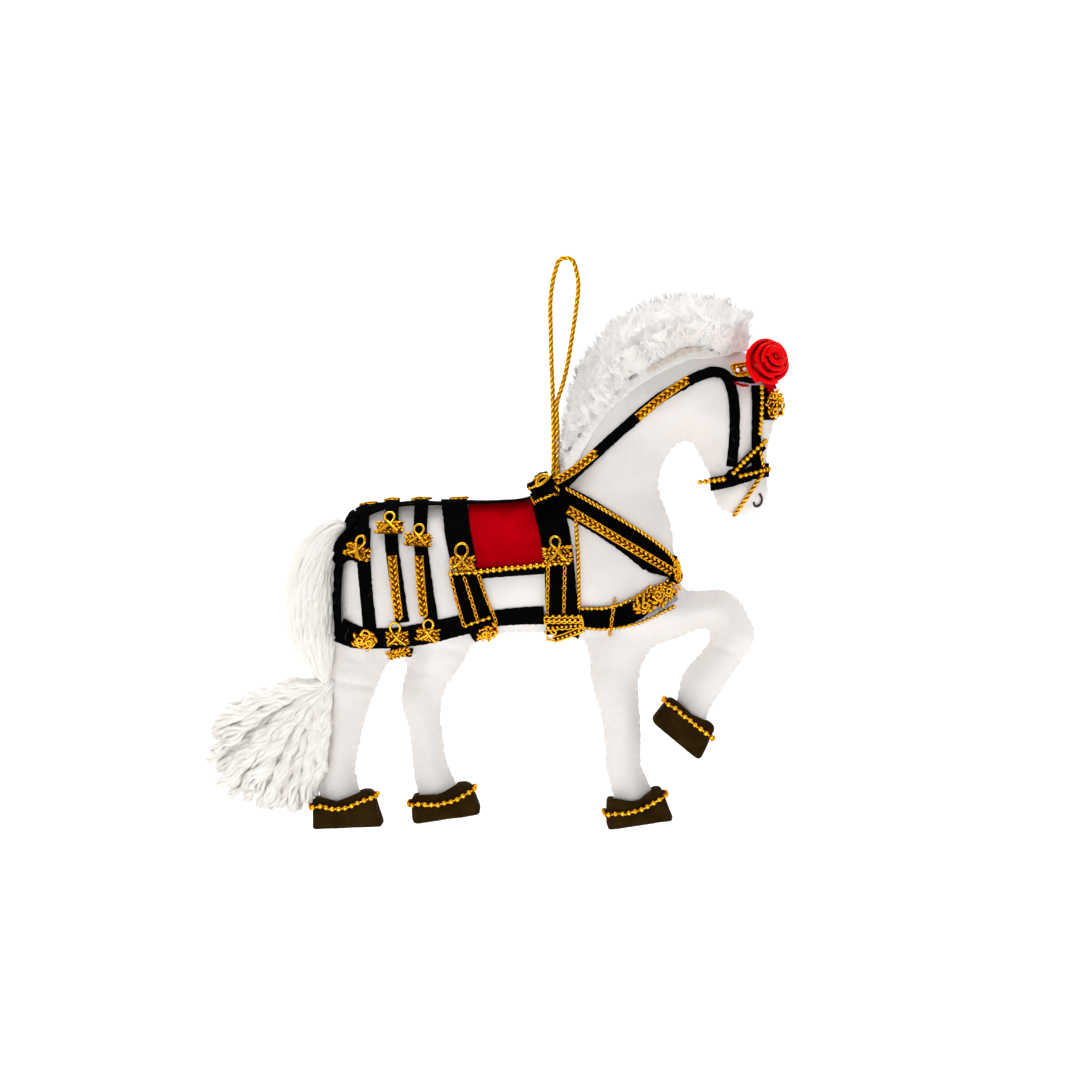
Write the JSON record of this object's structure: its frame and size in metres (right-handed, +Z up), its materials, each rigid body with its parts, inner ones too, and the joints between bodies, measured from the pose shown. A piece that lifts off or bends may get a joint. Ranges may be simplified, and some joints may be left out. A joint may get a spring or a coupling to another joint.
{
  "type": "stuffed horse ornament",
  "caption": "Flat stuffed velveteen parade horse in a black and gold ribbon harness, with plush mane, yarn tail and a gold cord loop to hang it by.",
  "frame": {"origin": "inside top of the hanging loop, in the seam plane of the two sewn layers", "axes": "+X towards the nose, +Z up the loop, -Y towards the viewer of the dressed side"},
  "size_m": [0.1453, 0.0281, 0.1432],
  "materials": {
    "velveteen": "short-pile white cotton velveteen, hand whip-stitched at the outline",
    "plush": "long-pile white plush",
    "yarn": "twisted white wool yarn",
    "velvet_ribbon": "black velvet ribbon",
    "felt": "dark olive-brown felt",
    "red_ribbon": "red woven ribbon",
    "red_resin": "glossy red moulded resin",
    "gilt_trim": "gilt braid, beads and stampings",
    "gold_cord": "twisted gold metallic cord"
  },
  "bodies": {
    "root": {"back_strap": "velvet_ribbon", "bead_chain_fore_raised": "gilt_trim", "bead_chain_fore_standing": "gilt_trim", "bead_chain_hind_front": "gilt_trim", "bead_chain_hind_rear": "gilt_trim", "breast_collar": "velvet_ribbon", "breast_ornament": "gilt_trim", "breast_strap": "velvet_ribbon", "breeching_strap_far": "velvet_ribbon", "breeching_strap_near": "velvet_ribbon", "brow_band": "velvet_ribbon", "buckle_breeching_front": "gilt_trim", "buckle_breeching_middle": "gilt_trim", "buckle_breeching_rear": "gilt_trim", "buckle_hip_front": "gilt_trim", "buckle_hip_middle": "gilt_trim", "buckle_hip_rear": "gilt_trim", "buckle_saddle_front": "gilt_trim", "buckle_saddle_rear": "gilt_trim", "cheek_chain": "gilt_trim", "cheek_strap_far": "velvet_ribbon", "cheek_strap_near": "velvet_ribbon", "forehead_brooch": "gilt_trim", "front_girth": "velvet_ribbon", "front_saddle_band": "velvet_ribbon", "girth_clasp": "gilt_trim", "hanging_loop": "gold_cord", "hip_braid_front": "gilt_trim", "hip_braid_middle": "gilt_trim", "hip_strap_front": "velvet_ribbon", "hip_strap_middle": "velvet_ribbon", "hip_strap_rear": "velvet_ribbon", "hoof_fore_raised": "felt", "hoof_fore_standing": "felt", "hoof_hind_front": "felt", "hoof_hind_rear": "felt", "horse_body": "velveteen", "mane": "plush", "neck_braid_high": "gilt_trim", "neck_braid_low": "gilt_trim", "neck_strap_far": "velvet_ribbon", "neck_strap_near": "velvet_ribbon", "nose_strap_far": "velvet_ribbon", "nose_strap_near": "velvet_ribbon", "noseband": "velvet_ribbon", "poll_clasp": "gilt_trim", "rear_girth_panel_far": "velvet_ribbon", "rear_girth_panel_near": "velvet_ribbon", "rear_saddle_band": "velvet_ribbon", "rein": "gilt_trim", "rose": "red_resin", "rose_ribbon": "red_ribbon", "saddle_bead_chain": "gilt_trim", "saddle_cloth": "red_ribbon", "saddle_edge_far": "velvet_ribbon", "saddle_edge_near": "velvet_ribbon", "slide_belly_rear": "gilt_trim", "slide_hock": "gilt_trim", "tail": "yarn", "withers_bow": "velvet_ribbon"}
  },
  "joints": []
}
